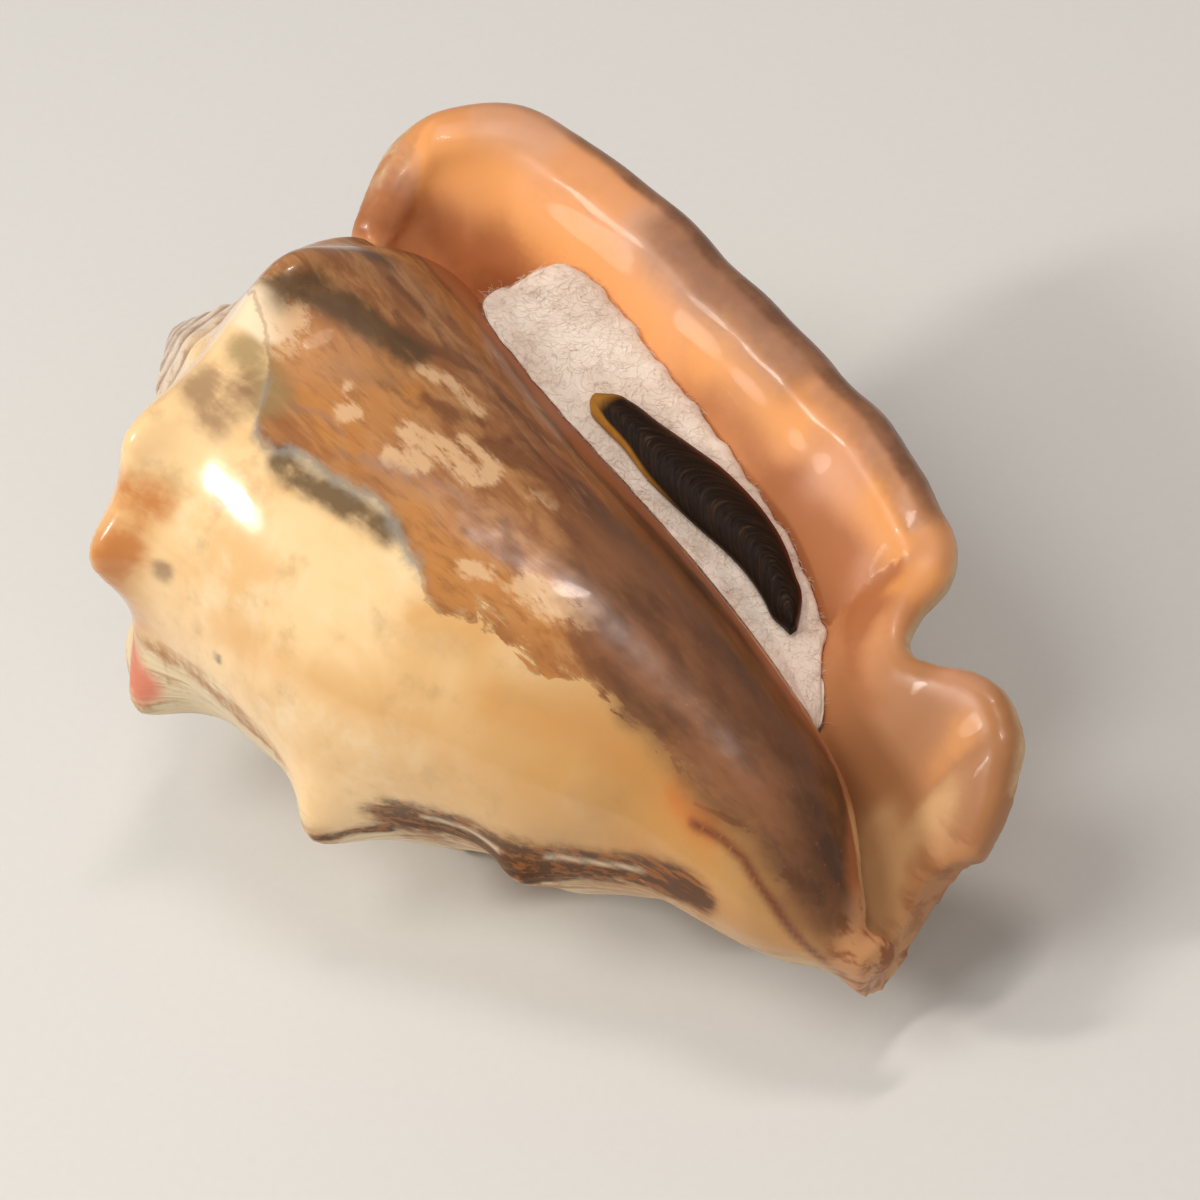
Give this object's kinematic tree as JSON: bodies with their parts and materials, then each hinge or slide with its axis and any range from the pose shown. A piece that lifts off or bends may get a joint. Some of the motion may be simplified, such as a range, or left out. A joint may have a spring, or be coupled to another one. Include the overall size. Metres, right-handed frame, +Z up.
{
  "type": "conch shell",
  "caption": "Adult strombid conch shell with flared lip and notched canal, lying aperture up, with cotton wool and its horny operculum in the aperture.",
  "frame": {"origin": "centre of the bottom of the bounding box, on the plane that the shell's knobbed back rests on", "axes": "+X runs along the shell from the spire to the siphonal canal, +Y points towards the flared outer lip, +Z up, the way the aperture faces"},
  "size_m": [0.1106, 0.0706, 0.0586],
  "materials": {
    "shell": "glossy, porcelain-like",
    "wool": "matte, fibrous",
    "operculum": "silky horn"
  },
  "bodies": {
    "root": {"shell": "shell", "cotton_wool": "wool", "operculum": "operculum"}
  },
  "joints": []
}
